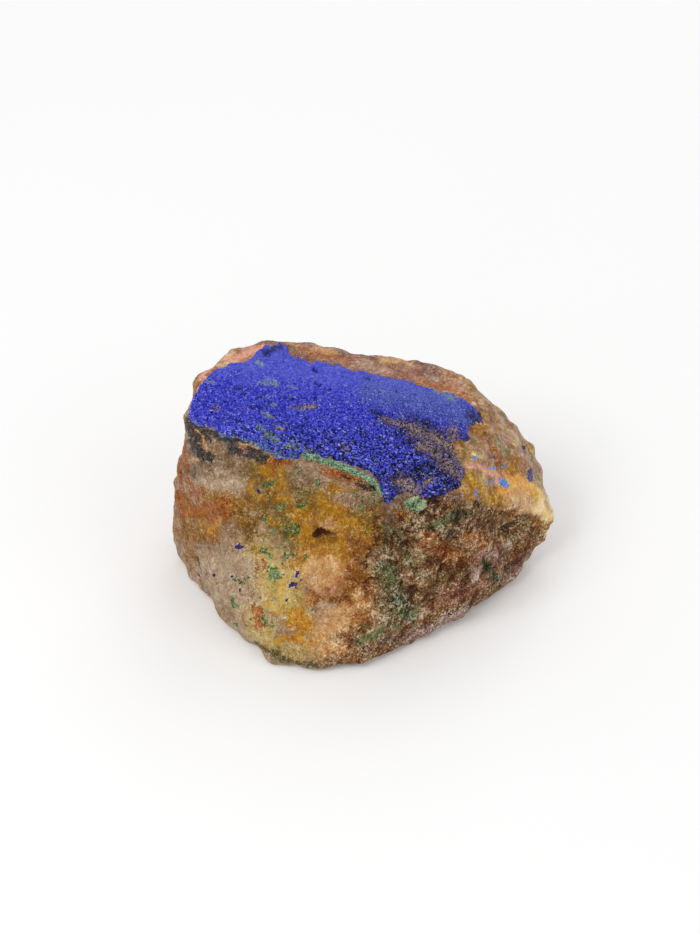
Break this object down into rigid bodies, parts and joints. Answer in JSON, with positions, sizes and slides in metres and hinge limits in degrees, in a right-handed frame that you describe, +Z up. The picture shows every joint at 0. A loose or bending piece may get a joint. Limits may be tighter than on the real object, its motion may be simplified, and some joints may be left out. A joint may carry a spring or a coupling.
{
  "type": "mineral specimen",
  "caption": "Hand specimen of iron-stained vein quartz, flat underneath, its sloping top covered by a druse of deep blue azurite with pale green malachite along the front edge.",
  "frame": {"origin": "middle of the flat underside, on the surface the specimen stands on", "axes": "+X along the specimen's length, from its blunt left side to its pointed nose; +Y from the glassy front to the back; +Z up"},
  "size_m": [0.0625, 0.0455, 0.0337],
  "materials": {
    "quartz": "broken vein quartz, glassy grey-white stained yellow, orange and brown by iron",
    "azurite": "rough druse of tiny deep blue crystals",
    "malachite": "pale green, crumbly and dull"
  },
  "bodies": {
    "root": {"quartz_matrix": "quartz", "azurite_crust": "azurite", "malachite_rim": "malachite", "malachite_knob": "malachite"}
  },
  "joints": []
}
